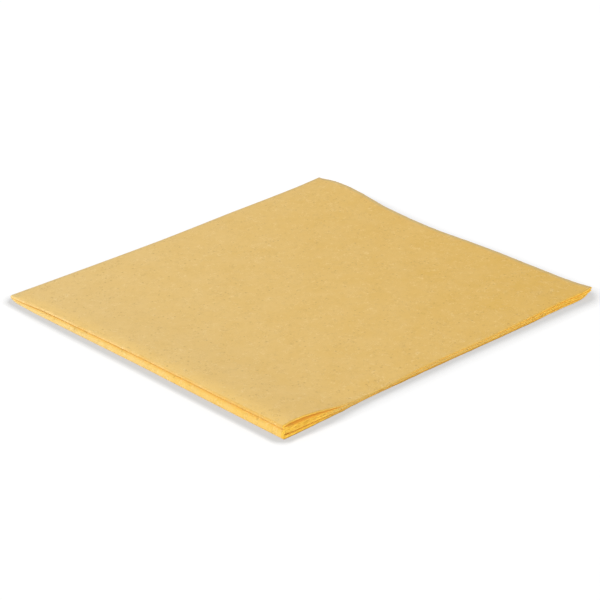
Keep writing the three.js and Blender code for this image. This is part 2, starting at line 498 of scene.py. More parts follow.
def loose_side_x(y, leaf):
    """Where the cut edge of a leaf's loose side lies."""
    share = (HALF_WIDTH - y) / (2 * HALF_WIDTH)
    hollow = LOOSE_SIDE_HOLLOW * hump(share, *LOOSE_SIDE_HOLLOW_SHARES)
    lean = LOOSE_SIDE_LEAN * eased(share, *LOOSE_SIDE_LEAN_SHARES)
    cut = CUT_WANDER * wander(y, CUT_WANDER_LENGTHS, SIDE_SEED + leaf)
    return HALF_LENGTH - (hollow + lean + corner_step(share, leaf)) + cut


def length_share(x):
    """0 at the first fold and 1 at the loose side."""
    return (x + HALF_LENGTH) / (2 * HALF_LENGTH)


def front_y(x, leaf):
    """Where the cut edge of a leaf's front lies."""
    share = np.clip(length_share(x), 0, 1)
    overhang = TOP_OVERHANG * hump(share, *TOP_OVERHANG_SHARES)
    hollow = FRONT_HOLLOW * hump(share, *FRONT_HOLLOW_SHARES)
    cut = CUT_WANDER * wander(x, CUT_WANDER_LENGTHS, FRONT_SEED + leaf)
    point = LOOSE_CORNER_POINT * eased(share, 1 - LOOSE_CORNER_POINT_SHARE, 1)
    run_in = FRONT_LEAN + hollow + corner_step(share, leaf) - point
    return -HALF_WIDTH + run_in + cut - (overhang if leaf == TOP else 0)


def full_share(x, y):
    """The share of their thickness that the leaves keep, less than 1 along the pressed front."""
    along = length_share(x)
    thinned = sum(size * hump(along, *place) for size, place in zip(THINNING, THINNING_SHARES))
    return 1 - thinned * ease(1 - (y + HALF_WIDTH) / THINNING_REACH)


def fold_swell(x, y, height, reach, power):
    """How far the leaves gape behind the first fold."""
    from_fold = x - first_fold_x(y, BOTTOM) - SWELL_CROWN
    closing = np.clip(from_fold / (reach - SWELL_CROWN), 0, 1)
    growth = depth(y) ** power * depth(y) / (depth(y) + SWELL_START)
    return height * growth * (1 + np.cos(math.pi * closing)) / 2


def nose(x, y):
    """0 at the tip of the first fold and 1 where its broad nose ends."""
    share = np.clip((x - first_fold_x(y, BOTTOM)) / NOSE_REACH, 0, 1)
    return 1 - (1 - share) ** 2


def pair_swells(x, y):
    """How far the lower and the upper pair gape. At the tip the lower one is a bulb that takes up
    nearly all of it, and the upper one is pressed flat."""
    swell = fold_swell(x, y, SWELL_HEIGHT, SWELL_REACH, SWELL_GROWTH)
    corner = fold_swell(x, y, CORNER_SWELL, CORNER_SWELL_REACH, CORNER_SWELL_GROWTH)
    rounding = fold_swell(x, y, NOSE_ROUNDING, SWELL_REACH, SWELL_GROWTH)
    pressed = NOSE_PRESS * ease(depth(y) / SETBACK_SHARE)
    shared = swell * (1 - LOWER_SWELL_SHARE)
    to_tip = 1 - ease((x - first_fold_x(y, BOTTOM)) / NOSE_REACH)
    bulb = np.maximum(0, shared + pressed - rounding) * to_tip
    whole = swell + corner * nose(x, y) - rounding * (1 - nose(x, y))
    lower = swell * LOWER_SWELL_SHARE + bulb
    return lower, np.maximum(whole - lower, -pressed)


def belly(x, y):
    """The swelling of the upper pair behind the main fold, most of all at the loose corner."""
    share = np.clip((FOLD_START - y) / BELLY_REACH, 0, 1)
    along = np.clip(length_share(x), 0, 1)
    main = share * (1 - share) ** 2 / BELLY_PEAK * along**BELLY_GROWTH
    corner = BELLY_CORNER_SHARE * (1 - share) ** BELLY_CORNER_FALL * along**BELLY_CORNER_GROWTH
    return BELLY_HEIGHT * (main + corner)


def corner_lift(x, y, height, reach, power):
    """A lift that is full at the loose corner and fades away from it."""
    from_corner = np.hypot(HALF_LENGTH - x, y + HALF_WIDTH)
    return height * np.clip(1 - from_corner / reach, 0, 1) ** power


def calm(x, y):
    """0 at both folds, which hold the cloth flat, and 1 far from them."""
    return ease(depth(y)) * ease((x + HALF_LENGTH) / SWELL_REACH)


def waves(x, y):
    """How far soft waves lift the leaves, never below 0."""
    across = np.sin(2 * math.pi * x / WAVE_LENGTH)
    along = np.cos(2 * math.pi * (y - x * WAVE_SLANT) / WAVE_LENGTH_ALONG)
    return WAVE_HEIGHT * calm(x, y) * (1 + across * along) / 2


def cockles(x, y):
    """Small dents and swells that all the leaves share, never below 0."""
    slants = x + y / COCKLE_SLANTS[0], y - x / COCKLE_SLANTS[1]
    one, other = (wander(way, COCKLE_LENGTHS, seed) for way, seed in zip(slants, COCKLE_SEEDS))
    return COCKLE_HEIGHT * ease(depth(y) * COCKLE_ONSET) * (1 + one * other)


def underside(x, y):
    """How far the bottom leaf stands off the table."""
    across = np.sin(2 * math.pi * (x + y * RIPPLE_SLANT) / RIPPLE_LENGTH)
    return np.maximum(0, UNDERSIDE_RIPPLE * calm(x, y) * across - UNDERSIDE_FLAT_DEPTH)


def leaf_z(x, y, leaf):
    """The height of a leaf's middle surface."""
    apart = ease((y + HALF_WIDTH) / FRONT_PRESS_REACH)
    lower, upper = pair_swells(x, y)
    fan = corner_lift(x, y, *FAN)
    wave = waves(x, y)
    lifts = [
        underside(x, y) + corner_lift(x, y, *CURL),
        lower + fan + cockles(x, y) + wave * (1 - apart),
        (belly(x, y) + wave) * apart - FRONT_PRESS * (1 - apart),
        upper + fan + wave * TOP_WAVE_SHARE + FRONT_PRESS * (1 - apart),
    ]
    stacked = (CLOTH_THICKNESS / 2 + leaf * LEAF_PITCH) * full_share(x, y)
    return stacked + sum(lifts[: leaf + 1])


# The middle surfaces

def column_plan():
    """For each column: which leaf it is on (1 outer, -1 inner, 0 the loop) and its share."""
    flat = crowded(np.linspace(0, 1, FLAT_COLUMNS))
    loop = np.linspace(0, 1, LOOP_COLUMNS + 2)[1:-1]
    side = np.concatenate([np.ones(FLAT_COLUMNS), np.zeros(LOOP_COLUMNS), -np.ones(FLAT_COLUMNS)])
    share = np.concatenate([flat[::-1], loop, flat])
    return side, share


SIDE, SHARE = column_plan()

# How far each column has turned around the first fold: 0 on the outer leaf, 1 on the inner one
TURNED = np.where(SIDE == 0, SHARE, np.where(SIDE > 0, 0, 1))


def pair_surface(outer, inner, y):
    """The middle surface of two leaves and the first fold that joins them, at the places y of
    each row and column."""
    places = np.zeros((*y.shape, 3))
    places[..., 1] = y
    tip = first_fold_x(y, outer)
    half = np.abs(leaf_z(tip, y, inner) - leaf_z(tip, y, outer)) / 2
    centre = tip + CLOTH_THICKNESS / 2 + half
    for leaf, side in ((outer, 1), (inner, -1)):
        c = SIDE == side
        x = mix(centre[:, c], loose_side_x(y[:, c], leaf), SHARE[c])
        places[:, c, 0], places[:, c, 2] = x, leaf_z(x, y[:, c], leaf)
    c = SIDE == 0
    centre, y = centre[:, c], y[:, c]
    start, end = leaf_z(centre, y, outer), leaf_z(centre, y, inner)
    turn = math.pi * (SHARE[c] - 0.5)
    places[:, c, 0] = centre - np.abs(end - start) / 2 * np.cos(turn)
    places[:, c, 2] = (start + end) / 2 + (end - start) / 2 * np.sin(turn)
    return places


def nap(grid, pair):
    """How much thicker the cloth is on the inside of a pair's loop, at each point of its grid."""
    outer, inner = (TOP, UPPER_INNER) if pair == TOP else (BOTTOM, LOWER_INNER)
    share = mix(NAP_SHARES[outer], NAP_SHARES[inner], ease(TURNED))
    lower, upper = pair_swells(grid[..., 0], grid[..., 1])
    return share * np.maximum(0, upper if pair == TOP else lower)


def pair_grid(outer, inner):
    """The rows of a pair of leaves, from the front to the seam with the main fold's bend."""
    front = np.zeros(len(SIDE))
    for leaf, side in ((outer, 1), (inner, -1)):
        c = SIDE == side
        front[c] = front_y(mix(-HALF_LENGTH, HALF_LENGTH, SHARE[c]), leaf)
    ends = front_y(-HALF_LENGTH, outer), front_y(-HALF_LENGTH, inner)
    front[SIDE == 0] = mix(*ends, SHARE[SIDE == 0])
    rows = crowded(np.linspace(0, 1, PAIR_ROWS))[:, None]
    return pair_surface(outer, inner, mix(front, SEAM_Y, rows))


def bend_grid():
    """The middle surface of the main fold's bend: the lower pair's edge carried around it."""
    straight = np.linspace(SEAM_Y, BEND_CENTRE_Y, STRAIGHT_ROWS + 1)[:, None] + 0 * SHARE
    below = pair_surface(BOTTOM, LOWER_INNER, straight)
    above = pair_surface(TOP, UPPER_INNER, straight)
    low, high = below[-1], above[-1]
    rows = list(below[:-1])
    turns = np.linspace(-1, 1, BEND_ROWS)
    for turn in np.sign(turns) * np.abs(turns) ** BEND_CROWDING * math.pi / 2:
        share = ease(turn / math.pi + 0.5)
        radius = mix(FOLD_LINE_HEIGHT - low[:, 2], high[:, 2] - FOLD_LINE_HEIGHT, share)
        y = BEND_CENTRE_Y + radius * math.cos(turn)
        z = FOLD_LINE_HEIGHT + radius * math.sin(turn)
        rows.append(np.stack([mix(low[:, 0], high[:, 0], share), y, z], 1))
    return np.array(rows + list(above[-2::-1]))


def laid_open(points):
    """Where points of the bend lie once the main fold is fully open."""
    turn = math.pi * eased(points[..., 2], TURN_LOW, TURN_HIGH)
    y, z = points[..., 1] - FOLD_LINE[1], points[..., 2] - FOLD_LINE_HEIGHT
    opened = points.copy()
    opened[..., 1] = FOLD_LINE[1] + y * np.cos(turn) + z * np.sin(turn)
    opened[..., 2] = FOLD_LINE_HEIGHT - y * np.sin(turn) + z * np.cos(turn)
    return opened


def row_places(grid):
    """How far each row of the bend lies along the cloth, by the longer of its two paths: around the
    shut fold on its outside, and over the open fold on its inside."""
    face = grid + normals_of(grid) * CLOTH_THICKNESS / 2
    paths = grid[:, 0], laid_open(face)[:, -FLAT_COLUMNS // 2]
    steps = np.max([np.linalg.norm(np.diff(path, axis=0), axis=1) for path in paths], axis=0)
    places = np.concatenate([[0], np.cumsum(steps)])
    return places - places[-1] / 2


def main_fold_y(x):
    """Where the main fold's line lies, a little in between its ends."""
    hollow = MAIN_FOLD_HOLLOW * np.clip(1 - (x / HALF_LENGTH) ** 2, 0, 1)
    return HALF_WIDTH - hollow - np.interp(x, MAIN_FOLD_PLACES, MAIN_FOLD_SHIFTS)


def drawn_in(grid):
    """The rows follow the main fold's line, less and less towards the front, and the corner where
    the folds cross is rounded off below."""
    near = ease((grid[..., 1] + HALF_WIDTH) / (2 * HALF_WIDTH))
    places = grid.copy()
    places[..., 1] += (main_fold_y(grid[..., 0]) - HALF_WIDTH) * near
    back = np.clip(1 - (HALF_WIDTH - grid[..., 1]) / BACK_CORNER_REACH, 0, 1)
    side = np.clip(1 - (grid[..., 0] + HALF_LENGTH) / BACK_CORNER_REACH, 0, 1)
    low = np.clip(1 - grid[..., 2] / STACK_HEIGHT, 0, 1)
    back_power, low_power = BACK_CORNER_POWERS
    places[..., 0] += BACK_CORNER_ROUNDING * back**back_power * ease(side) * low**low_power
    return places


def normals_of(grid):
    """The middle surface's normal at each point of its grid."""
    along = np.gradient(grid, axis=1)
    across = np.gradient(grid, axis=0)
    normal = np.cross(along, across)
    return normal / np.linalg.norm(normal, axis=2, keepdims=True)


# Closed sheets

FACE, INSIDE, CUT = range(3)


def rim_path(rows, columns):
    """The grid's boundary as a loop of (row, column), anticlockwise."""
    bottom = [(0, c) for c in range(columns)]
    right = [(r, columns - 1) for r in range(1, rows)]
    top = [(rows - 1, c) for c in range(columns - 2, -1, -1)]
    left = [(r, 0) for r in range(rows - 2, 0, -1)]
    return bottom + right + top + left


def run_out(grid, r, c):
    """The direction that leads out of the sheet at a boundary point."""
    rows, columns = grid.shape[:2]
    out = np.zeros(3)
    if r in (0, rows - 1):
        out += grid[r, c] - grid[1 if r == 0 else rows - 2, c]
    if c in (0, columns - 1):
        out += grid[r, c] - grid[r, 1 if c == 0 else columns - 2]
    return out / np.linalg.norm(out)


def write_values(mesh, name, kind, values):
    """Gives every point of a mesh a value by name: a number, or a vector."""
    field = "vector" if kind == "FLOAT_VECTOR" else "value"
    values = np.asarray(values, np.float32).ravel()
    mesh.attributes.new(name, kind, "POINT").data.foreach_set(field, values)


def sheet_mesh(name, grid, way, cut_rows, extra):
    """A closed sheet around grid. way is +1 where the grid's normals point out of the loops, and
    -1 where they point into them. cut_rows names the boundary rows that are cut, and extra is the
    nap that the face inside the loops has beyond the plain thickness."""
    rows, columns = grid.shape[:2]
    normal = normals_of(grid) * way
    half = CLOTH_THICKNESS / 2 * full_share(grid[..., 0], grid[..., 1])
    outer, inner = grid + normal * half[..., None], grid - normal * (half + extra)[..., None]
    points = [*outer.reshape(-1, 3), *inner.reshape(-1, 3)]
    path = rim_path(rows, columns)
    count = len(path)
    rough = np.random.default_rng(RIM_SEED).normal(0, 1, (RIM_RINGS, count))
    raw = np.array([c in (0, columns - 1) or r in cut_rows for r, c in path], float)
    for ring in range(RIM_RINGS):
        turn = math.pi * (ring + 1) / (RIM_RINGS + 1)
        for k, (r, c) in enumerate(path):
            bulge = half[r, c] * RIM_ROUNDNESS * math.sin(turn) + RIM_ROUGHNESS * rough[ring, k]
            middle, reach = (outer[r, c] + inner[r, c]) / 2, (outer[r, c] - inner[r, c]) / 2
            lift = reach * math.cos(turn)
            points.append(middle + lift + run_out(grid, r, c) * bulge * raw[k])
    faces = []
    size = rows * columns
    for r in range(rows - 1):
        for c in range(columns - 1):
            here, beside = r * columns + c, r * columns + c + 1
            above, across = here + columns, beside + columns
            face = (here, beside, across, above) if way > 0 else (here, above, across, beside)
            faces.append(face)
            faces.append(tuple(size + i for i in face[::-1]))
    rings = [[r * columns + c for r, c in path]]
    rings += [[2 * size + ring * count + k for k in range(count)] for ring in range(RIM_RINGS)]
    rings.append([size + r * columns + c for r, c in path])
    for ring, following in zip(rings, rings[1:]):
        for k in range(count):
            n = (k + 1) % count
            face = (ring[k], following[k], following[n], ring[n])
            faces.append(face if way > 0 else face[::-1])
    mesh = bpy.data.meshes.new(name)
    mesh.from_pydata([tuple(p) for p in points], [], faces)
    sides = [FACE, INSIDE] * ((rows - 1) * (columns - 1)) + [CUT] * (RIM_RINGS + 1) * count
    mesh.polygons.foreach_set("material_index", sides)
    return placed_object(name, mesh), path


def column_places(grid):
    """How far each column lies along the cloth, from the middle of the first fold."""
    steps = np.linalg.norm(np.diff(grid, axis=1), axis=2).mean(0)
    places = np.concatenate([[0], np.cumsum(steps)])
    return places - places[len(places) // 2]


def from_sides(along):
    """How far each column lies from the nearer cut edge of the loose side."""
    return np.minimum(along - along[0], along[-1] - along)


def paint(piece, path, along, across, cut_rows, masks):
    """Writes where each point lies on the open sheet, and the masks: the cut edges, and those
    that are given by name with a value for each point of the grid."""
    rows, columns = len(across), len(along)
    on_sheet = np.zeros((rows, columns, 3))
    on_sheet[..., 0] = along
    on_sheet[..., 1] = across[:, None]
    reach = from_sides(along)[None, :] + 0 * across[:, None]
    for row in cut_rows:
        reach = np.minimum(reach, np.abs(across - across[row])[:, None])
    cut = np.clip(1 - reach / CUT_REACH, 0, 1)
    picked = tuple(np.array(path).T)
    rim = [
        on_sheet[picked] + (0, 0, CLOTH_THICKNESS * (1 - (ring + 1) / (RIM_RINGS + 1)))
        for ring in range(RIM_RINGS)
    ]
    place = [on_sheet + (0, 0, CLOTH_THICKNESS), on_sheet]
    place = np.concatenate([p.reshape(-1, 3) for p in place] + rim)
    mesh = piece.data
    write_values(mesh, "sheet_place", "FLOAT_VECTOR", place)
    for name, value in {"cut_edge": cut, **masks}.items():
        value = value + np.zeros((rows, columns))
        value = np.concatenate([value.ravel(), value.ravel(), np.tile(value[picked], RIM_RINGS)])
        write_values(mesh, name, "FLOAT", value)
    mesh.polygons.foreach_set("use_smooth", [True] * len(mesh.polygons))
    mesh.set_sharp_from_angle(angle=SHARP_ANGLE)
    mesh.update()


def finish_masks(grid, along, upper):
    """How much of each finish every point takes, from 0 to 1. upper is True for the upper pair."""
    bend = np.clip(1 - (np.abs(along) - PAIR_REACH) / BEND_REACH, 0, 1)
    top_side = (1 - ease(TURNED)) * upper
    bend = bend * (1 - top_side)
    start, end = (eased(length_share(grid[..., 0]), *shares) for shares in PRESSED_SHARES)
    at_front = ease((FRONT_REACH - HALF_WIDTH - grid[..., 1]) / FRONT_REACH)
    from_back = main_fold_y(grid[..., 0]) - grid[..., 1]
    rim_heights = (STACK_HEIGHT * share for share in BACK_RIM_HEIGHTS)
    back_rim = ease(1 - from_back / BACK_RIM_REACH) * eased(grid[..., 2], *rim_heights)
    side_rim = ease(1 - from_sides(along) / FAR_RIM_REACH)
    return {
        "bend": bend,
        "nose": ease(TURNED / NOSE_START) * top_side,
        "shoulder_highlight": ease(1 - np.abs(along) / SHOULDER_HIGHLIGHT_REACH) * top_side,
        "crease": bend * eased(TURNED, *CREASE_SHARES),
        "pressed": start * (1 - end) * at_front,
        "far_rim_shade": np.maximum(FAR_RIM_STRENGTH * side_rim, BACK_RIM_STRENGTH * back_rim),
        "pale_rim": (TURNED == 0) * upper,
        "glow_share": 1.0 if upper else LOWER_GLOW_SHARE,
    }


def make_sheets(lower, upper, turned):
    """The three pieces of the cloth, by name. sign says on which side of the main fold's bend a
    piece lies on the open sheet, and is 0 for the bend."""
    made = {}
    turned_places = row_places(turned)
    middle_column = len(SIDE) // 2
    for name, grid, way, cut_rows, sign in (
        ("lower_sheet", lower, 1, (0,), -1),
        ("upper_sheet", upper, -1, (0,), 1),
        ("main_fold_bend", turned, 1, (), 0),
    ):
        if sign:
            extra = nap(grid, TOP if sign > 0 else BOTTOM)
            across = sign * (turned_places[-1] + SEAM_Y - grid[:, middle_column, 1])
        else:
            extra = 0 * grid[..., 0]
            across = turned_places
        made[name], path = sheet_mesh(name, grid, way, cut_rows, extra)
        along = column_places(grid)
        masks = finish_masks(grid, along, name == "upper_sheet")
        paint(made[name], path, along, across, cut_rows, masks)
    return made


# Nodes

def node(tree, kind, **settings):
    """A new node, with its inputs and its settings by name."""
    made = tree.nodes.new(kind)
    for key, value in settings.items():
        if key in made.inputs:
            made.inputs[key].default_value = value
        else:
            setattr(made, key, value)
    return made


def feed(tree, source, socket):
    """Links a socket, or sets a plain value on it."""
    if isinstance(source, bpy.types.NodeSocket):
        tree.links.new(source, socket)
    else:
        socket.default_value = source


def add_sockets(tree, in_out, kind, *names):
    """Gives a group its named inputs or outputs of one kind."""
    for name in names:
        tree.interface.new_socket(name, in_out=in_out, socket_type="NodeSocket" + kind)


def reckon(tree, operation, *sources, clamp=False):
    """A sum, a product or the like of sockets and plain values."""
    made = node(tree, "ShaderNodeMath", operation=operation, use_clamp=clamp)
    for source, socket in zip(sources, made.inputs):
        feed(tree, source, socket)
    return made.outputs[0]


def times(tree, value, factor):
    return reckon(tree, "MULTIPLY", value, factor)


# Stray fibres of the cut edges

def of_kind(sockets, name, kind):
    """The socket of that name that takes that kind of value."""
    return [s for s in sockets if s.name == name and s.type == kind][0]


def drawn(tree, low, high, seed):
    """A random value for each fibre: a number, or a vector where low is one."""
    kind, data_type = ("VALUE", "FLOAT") if isinstance(low, float) else ("VECTOR", "FLOAT_VECTOR")
    made = node(tree, "FunctionNodeRandomValue", data_type=data_type)
    of_kind(made.inputs, "Min", kind).default_value = low
    of_kind(made.inputs, "Max", kind).default_value = high
    feed(tree, seed, made.inputs["Seed"])
    return of_kind(made.outputs, "Value", kind)


def carried(tree, name):
    """The direction that a path's points carry by name."""
    made = node(tree, "GeometryNodeInputNamedAttribute", data_type="FLOAT_VECTOR", Name=name)
    return of_kind(made.outputs, "Attribute", "VECTOR")


def scaled(tree, vector, size):
    made = node(tree, "ShaderNodeVectorMath", operation="SCALE")
    feed(tree, vector, made.inputs[0])
    feed(tree, size, made.inputs["Scale"])
    return made.outputs[0]


def fibre_tree():
    """Short curled fibres along a path, each turned out of the cloth at random."""
    tree = bpy.data.node_groups.new("stray_fibres", "GeometryNodeTree")
    add_sockets(tree, "INPUT", "Geometry", "Path")
    add_sockets(tree, "INPUT", "Float", "Spacing", "Length", "Thickness", "Cloth Thickness")
    add_sockets(tree, "INPUT", "Int", "Sides", "Steps", "Seed")
    add_sockets(tree, "INPUT", "Material", "Fibre Material")
    add_sockets(tree, "OUTPUT", "Geometry", "Fibres")
    given = node(tree, "NodeGroupInput").outputs
    route = node(tree, "GeometryNodeMeshToCurve")
    feed(tree, given["Path"], route.inputs["Mesh"])
    even = node(tree, "GeometryNodeResampleCurve", mode="LENGTH")
    feed(tree, route.outputs[0], even.inputs["Curve"])
    feed(tree, given["Spacing"], even.inputs["Length"])
    layer = drawn(tree, -FIBRE_LAYERS, FIBRE_LAYERS, given["Seed"])
    layer = times(tree, layer, given["Cloth Thickness"])
    spread = node(tree, "GeometryNodeSetPosition")
    feed(tree, even.outputs[0], spread.inputs["Geometry"])
    feed(tree, scaled(tree, carried(tree, "upward"), layer), spread.inputs["Offset"])
    strand = node(tree, "GeometryNodeCurveQuadraticBezier")
    feed(tree, given["Steps"], strand.inputs["Resolution"])
    for name, place in FIBRE_SHAPE.items():
        feed(tree, scaled(tree, place, given["Length"]), strand.inputs[name])
    section = node(tree, "GeometryNodeCurvePrimitiveCircle", mode="RADIUS")
    feed(tree, given["Sides"], section.inputs["Resolution"])
    feed(tree, times(tree, given["Thickness"], 0.5), section.inputs["Radius"])
    fibre = node(tree, "GeometryNodeCurveToMesh")
    feed(tree, strand.outputs[0], fibre.inputs["Curve"])
    feed(tree, section.outputs[0], fibre.inputs["Profile Curve"])
    fibre.inputs["Fill Caps"].default_value = True
    outward = node(tree, "FunctionNodeAlignRotationToVector", axis="X")
    feed(tree, carried(tree, "outward"), outward.inputs["Vector"])
    tilt = node(tree, "FunctionNodeEulerToRotation")
    least, most = (tuple(side * t for t in FIBRE_TURNS) for side in (-1, 1))
    feed(tree, drawn(tree, least, most, given["Seed"]), tilt.inputs["Euler"])
    turned = node(tree, "FunctionNodeRotateRotation", rotation_space="LOCAL")
    feed(tree, outward.outputs[0], turned.inputs["Rotation"])
    feed(tree, tilt.outputs[0], turned.inputs["Rotate By"])
    placed = node(tree, "GeometryNodeInstanceOnPoints")
    feed(tree, spread.outputs[0], placed.inputs["Points"])
    feed(tree, fibre.outputs[0], placed.inputs["Instance"])
    feed(tree, turned.outputs[0], placed.inputs["Rotation"])
    feed(tree, drawn(tree, *FIBRE_SIZES, given["Seed"]), placed.inputs["Scale"])
    real = node(tree, "GeometryNodeRealizeInstances")
    feed(tree, placed.outputs[0], real.inputs[0])
    finished = node(tree, "GeometryNodeSetMaterial")
    feed(tree, real.outputs[0], finished.inputs["Geometry"])
    feed(tree, given["Fibre Material"], finished.inputs["Material"])
    feed(tree, finished.outputs[0], node(tree, "NodeGroupOutput").inputs["Fibres"])
    return tree


def edge_fibres(name, grid, tree, finish, seed):
    """The fibres along the cut edges of one half of the cloth, as one mesh. Those that would reach
    through the table are pressed flat on it."""
    rows, columns = grid.shape[:2]
    path = [(r, 0) for r in range(rows - 2, 0, -1)]
    path += [(0, c) for c in range(columns)]
    path += [(r, columns - 1) for r in range(1, rows - 1)]
    normal = normals_of(grid)
    route = bpy.data.meshes.new(name + "_path")
    links = [(k, k + 1) for k in range(len(path) - 1)]
    route.from_pydata([tuple(grid[r, c]) for r, c in path], links, [])
    directions = {
        "outward": np.array([run_out(grid, r, c) for r, c in path]),
        "upward": np.array([normal[r, c] for r, c in path]),
    }
    for key, value in directions.items():
        write_values(route, key, "FLOAT_VECTOR", value)
    grower = placed_object(name + "_path", route)
    modifier = grower.modifiers.new("fibres", "NODES")
    modifier.node_group = tree
    sizes = {
        "Spacing": FIBRE_SPACING,
        "Length": FIBRE_LENGTH,
        "Thickness": FIBRE_THICKNESS,
        "Cloth Thickness": CLOTH_THICKNESS,
        "Sides": FIBRE_SIDES,
        "Steps": FIBRE_STEPS,
        "Seed": seed,
        "Fibre Material": finish,
    }
    for socket in tree.interface.items_tree:
        if socket.in_out == "INPUT" and socket.name in sizes:
            modifier[socket.identifier] = sizes[socket.name]
    evaluated = grower.evaluated_get(bpy.context.evaluated_depsgraph_get())
    mesh = bpy.data.meshes.new_from_object(evaluated)
    mesh.name = name
    for point in mesh.vertices:
        if point.co.z < FIBRE_FLOOR:
            point.co.z = FIBRE_FLOOR * math.exp(point.co.z / FIBRE_FLOOR - 1)
    bpy.data.objects.remove(grower)
    return placed_object(name, mesh)


# Materials

def new_material(name):
    made = bpy.data.materials.new(name)
    made.use_nodes = True
    made.node_tree.nodes.clear()
    return made, made.node_tree


def ramp(tree, value, low, high, to_low=0.0, to_high=1.0, kind="SMOOTHSTEP"):
    """Carries a value from one range to another, with a soft start and end or as a straight line."""
    made = node(tree, "ShaderNodeMapRange", interpolation_type=kind)
    ends = {"From Min": low, "From Max": high, "To Min": to_low, "To Max": to_high}
    for name, source in ends.items():
        feed(tree, source, made.inputs[name])
    feed(tree, value, made.inputs["Value"])
    return made.outputs["Result"]


def noise(tree, place, scale, detail=2.0, roughness=0.5, warp=0.0):
    made = node(tree, "ShaderNodeTexNoise", Detail=detail, Roughness=roughness, Distortion=warp)
    feed(tree, place, made.inputs["Vector"])
    feed(tree, scale, made.inputs["Scale"])
    return made.outputs["Fac"]


def object_place(tree):
    return node(tree, "ShaderNodeTexCoord").outputs["Object"]


def sheet_place(tree):
    """Where a point lies on the open sheet."""
    return node(tree, "ShaderNodeAttribute", attribute_name="sheet_place").outputs["Vector"]


def axes(tree, place):
    """The X, Y and Z of a place."""
    made = node(tree, "ShaderNodeSeparateXYZ")
    feed(tree, place, made.inputs[0])
    return made.outputs


def moved(tree, place, step):
    made = node(tree, "ShaderNodeVectorMath", operation="ADD")
    feed(tree, place, made.inputs[0])
    made.inputs[1].default_value = step
    return made.outputs[0]


def blended(tree, share, low, high):
    """A colour between two others, which are sockets or plain colours."""
    made = node(tree, "ShaderNodeMix", data_type="RGBA")
    feed(tree, share, made.inputs["Factor"])
    for colour, name in ((low, "A"), (high, "B")):
        socket = [s for s in made.inputs if s.name == name and s.type == "RGBA"][0]
        feed(tree, colour if isinstance(colour, bpy.types.NodeSocket) else (*colour, 1), socket)
    return [s for s in made.outputs if s.type == "RGBA"][0]


def mask(tree, name):
    made = node(tree, "ShaderNodeAttribute", attribute_name=name)
    return made.outputs["Fac"]


def curled_fibres(tree, place, scale, width):
    """Thin curly lines: where a warped noise crosses its middle, in patches."""
    warped = noise(tree, place, scale, detail=1, roughness=0.4, warp=1.2)
    crossing = reckon(tree, "ABSOLUTE", reckon(tree, "SUBTRACT", warped, 0.5))
    line = ramp(tree, crossing, 0.0, width, 1.0, 0.0)
    patch = noise(tree, place, times(tree, scale, PATCH_SCALE), detail=1)
    return times(tree, line, ramp(tree, patch, *FIBRE_EDGE))


def in_cells(tree, place, spacing, size_share, kept_share):
    """How far a place lies from the point of its cell, in shares of a size that differs from cell
    to cell, and 1 in the cells that draw less than the share that is kept."""
    cells = node(tree, "ShaderNodeTexVoronoi", voronoi_dimensions="2D", Randomness=1.0)
    feed(tree, place, cells.inputs["Vector"])
    feed(tree, reckon(tree, "DIVIDE", 1.0, spacing), cells.inputs["Scale"])
    draw = node(tree, "ShaderNodeSeparateColor")
    feed(tree, cells.outputs["Color"], draw.inputs[0])
    size = reckon(tree, "MULTIPLY_ADD", draw.outputs[1], size_share, size_share / 2)
    kept = reckon(tree, "LESS_THAN", draw.outputs[0], kept_share)
    return reckon(tree, "DIVIDE", cells.outputs["Distance"], size), kept


def spots(tree, place, spacing, size_share, kept_share):
    """Round spots, one in each cell that is kept."""
    away, kept = in_cells(tree, place, spacing, size_share, kept_share)
    return times(tree, ramp(tree, away, SPOT_SOFTNESS, 1.0, 1.0, 0.0), kept)


def loops(tree, place, spacing, size_share, kept_share):
    """Single fibres that lie in broken loops, one in each cell that is kept."""
    away, kept = in_cells(tree, place, spacing, size_share, kept_share)
    off = reckon(tree, "ABSOLUTE", reckon(tree, "SUBTRACT", away, 1.0))
    line = ramp(tree, off, 0.0, LOOP_LINE, 1.0, 0.0)
    breaks = noise(tree, place, reckon(tree, "DIVIDE", 2.0, spacing), detail=1)
    return times(tree, times(tree, line, ramp(tree, breaks, *LOOP_EDGE)), kept)


def added_up(tree, marks, shares, clamp=False):
    """The sum of marks, each by its share."""
    total = 0.0
    for name, share in shares.items():
        last = name == list(shares)[-1]
        total = reckon(tree, "MULTIPLY_ADD", marks[name], share, total, clamp=clamp and last)
    return total


